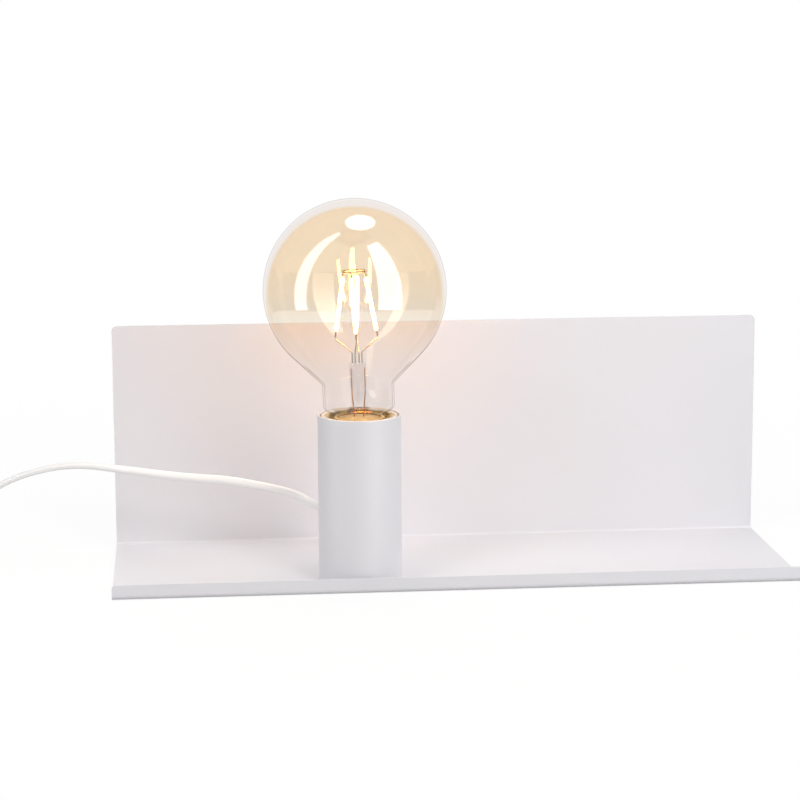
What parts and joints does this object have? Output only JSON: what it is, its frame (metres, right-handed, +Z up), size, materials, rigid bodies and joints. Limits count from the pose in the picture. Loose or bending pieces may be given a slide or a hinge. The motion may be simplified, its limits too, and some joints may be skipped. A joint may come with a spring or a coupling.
{
  "type": "wall lamp",
  "caption": "Wall lamp with a folded white sheet-metal shelf, an upright holder tube, a large amber globe bulb that screws out, and a white plug-in cord with a rocker switch.",
  "frame": {"origin": "on the wall, midway between the screw holes of the hidden wall rail", "axes": "+X to the right along the shelf, +Y into the wall, +Z up"},
  "size_m": [0.6232, 0.1493, 0.2014],
  "materials": {
    "white_coat": "matt white powder coat",
    "holder_plastic": "white moulded plastic",
    "cord_plastic": "white satin flex",
    "fitting_plastic": "white moulded plastic",
    "rocker_plastic": "white glossy plastic",
    "zinc_steel": "zinc-plated steel",
    "brass": "plain brass",
    "nickel": "nickel plate",
    "black_plastic": "black insulation",
    "bumper_rubber": "soft grey rubber",
    "lead_blue": "blue insulation",
    "lead_brown": "brown insulation",
    "amber_glass": "amber-tinted clear glass",
    "clear_glass": "clear glass",
    "wire": "bare support wire",
    "filament": "glowing light-emitting stick"
  },
  "bodies": {
    "lamp": {"centre_contact": "brass", "cord_coil": "cord_plastic", "cord_gland": "cord_plastic", "cord_lead": "cord_plastic", "cord_link": "cord_plastic", "cord_stub": "cord_plastic", "cord_tail": "cord_plastic", "cord_tie": "fitting_plastic", "foot_screw_1": "zinc_steel", "foot_screw_2": "zinc_steel", "foot_screw_3": "zinc_steel", "holder_cap": "holder_plastic", "holder_insert": "holder_plastic", "holder_nut": "zinc_steel", "holder_post": "zinc_steel", "holder_skirt": "holder_plastic", "inner_lead_1": "lead_blue", "inner_lead_2": "lead_brown", "lamp_tube": "white_coat", "plate_cleat": "zinc_steel", "plug_body": "fitting_plastic", "plug_pin_1": "nickel", "plug_pin_2": "nickel", "plug_relief": "fitting_plastic", "plug_sleeve_1": "black_plastic", "plug_sleeve_2": "black_plastic", "post_nut": "zinc_steel", "rocker_pin": "zinc_steel", "shelf_bracket": "white_coat", "switch_base": "fitting_plastic", "switch_cover": "fitting_plastic", "switch_screw_1": "zinc_steel", "switch_screw_2": "zinc_steel", "terminal_1": "brass", "terminal_2": "brass", "thread_shell": "brass", "tube_foot": "zinc_steel", "wall_bumper_1": "bumper_rubber", "wall_bumper_2": "bumper_rubber", "wall_rail": "zinc_steel"},
    "bulb_core": {"bulb_contact": "nickel"},
    "bulb": {"bulb_glass": "amber_glass", "bulb_cap": "brass", "cap_insulator": "black_plastic", "bulb_stem": "clear_glass", "filament_ring": "wire", "stick_wire_1": "wire", "stick_wire_2": "wire", "stick_wire_3": "wire", "stick_wire_4": "wire", "filament_1": "filament", "filament_2": "filament", "filament_3": "filament", "filament_4": "filament"},
    "rocker": {"switch_rocker": "rocker_plastic"}
  },
  "joints": [
    {"name": "bulb_lift", "type": "slide", "parent": "lamp", "child": "bulb_core", "axis": [0, 0, 1], "range_m": [0, 0.011]},
    {"name": "bulb_turn", "type": "hinge", "parent": "bulb_core", "child": "bulb", "pos_m": [-0.0508, -0.102, 0], "axis": [0, 0, 1], "range_deg": [0, 1080]},
    {"name": "rocker_press", "type": "hinge", "parent": "lamp", "child": "rocker", "pos_m": [-0.3576, -0.03345, -0.0722], "axis": [0, -1, 0], "range_deg": [0, 16]}
  ],
  "couplings": [
    {"joint": "bulb_lift", "follows": "bulb_turn", "m_per_rad": 0.00057757}
  ]
}
